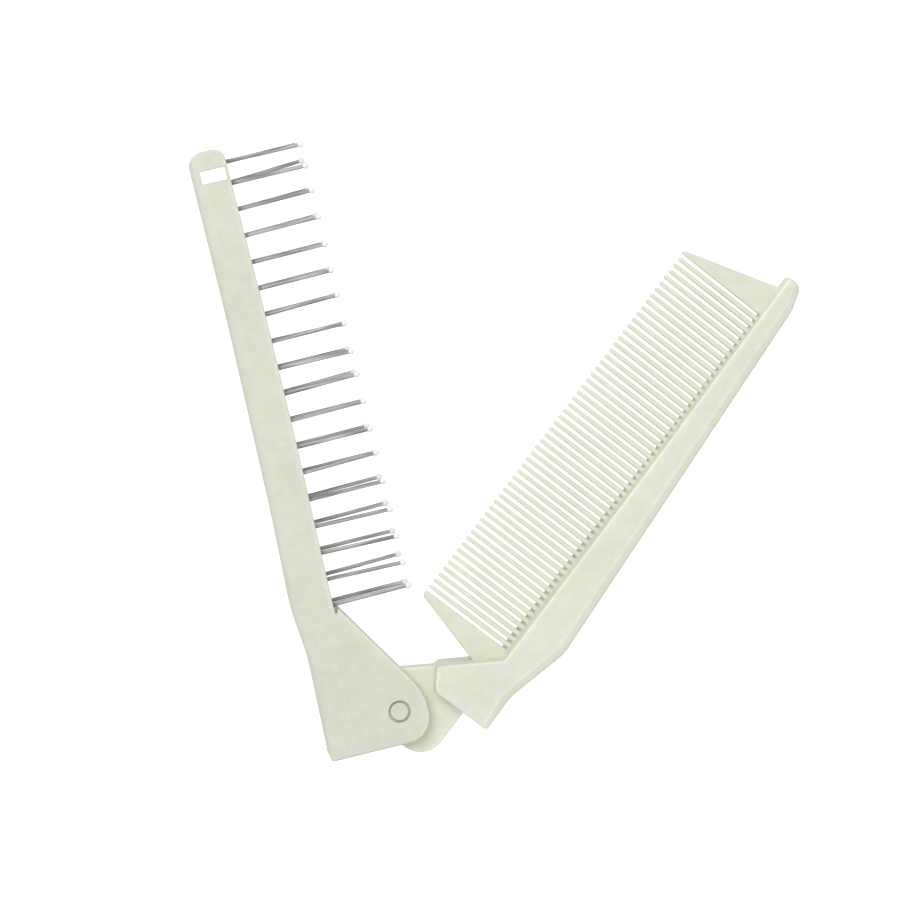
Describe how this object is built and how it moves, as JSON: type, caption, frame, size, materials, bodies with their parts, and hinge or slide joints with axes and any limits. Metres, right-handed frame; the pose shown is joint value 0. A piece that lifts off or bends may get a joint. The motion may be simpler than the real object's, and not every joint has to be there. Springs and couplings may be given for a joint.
{
  "type": "folding comb brush",
  "caption": "Pocket comb and brush in one: the toothed comb arm folds on a pivot pin into the channel between two rows of metal bristle pins.",
  "frame": {"origin": "on the pivot's axis, at the surface that the object lies on", "axes": "+Z along the pivot's axis, up from the surface; +Y along the brush arm, away from the pivot; +X the way the bristle pins point"},
  "size_m": [0.1032, 0.1142, 0.011],
  "materials": {
    "brush_plastic": "moulded pale green plastic, satin, lightly scuffed",
    "comb_plastic": "moulded pale green plastic, satin, lightly scuffed",
    "teeth_plastic": "moulded pale green plastic, slightly translucent",
    "pin_steel": "drawn steel wire with bright ball tips"
  },
  "bodies": {
    "brush_arm": {"brush_handle": "brush_plastic", "pin_a_01": "pin_steel", "pin_a_02": "pin_steel", "pin_a_03": "pin_steel", "pin_a_04": "pin_steel", "pin_a_05": "pin_steel", "pin_a_06": "pin_steel", "pin_a_07": "pin_steel", "pin_a_08": "pin_steel", "pin_a_09": "pin_steel", "pin_a_10": "pin_steel", "pin_a_11": "pin_steel", "pin_a_12": "pin_steel", "pin_a_13": "pin_steel", "pin_a_14": "pin_steel", "pin_a_15": "pin_steel", "pin_a_16": "pin_steel", "pin_a_17": "pin_steel", "pin_a_18": "pin_steel", "pin_b_01": "pin_steel", "pin_b_02": "pin_steel", "pin_b_03": "pin_steel", "pin_b_04": "pin_steel", "pin_b_05": "pin_steel", "pin_b_06": "pin_steel", "pin_b_07": "pin_steel", "pin_b_08": "pin_steel", "pin_b_09": "pin_steel", "pin_b_10": "pin_steel", "pin_b_11": "pin_steel", "pin_b_12": "pin_steel", "pin_b_13": "pin_steel", "pin_b_14": "pin_steel", "pin_b_15": "pin_steel", "pin_b_16": "pin_steel", "pin_b_17": "pin_steel", "pin_b_18": "pin_steel", "pivot_pin": "brush_plastic"},
    "comb_arm": {"comb_handle": "comb_plastic", "comb_teeth": "teeth_plastic"}
  },
  "joints": [
    {"name": "fold", "type": "hinge", "parent": "brush_arm", "child": "comb_arm", "pos_m": [0, 0, 0], "axis": [0, 0, 1], "range_deg": [-129.4, 50.6]}
  ]
}
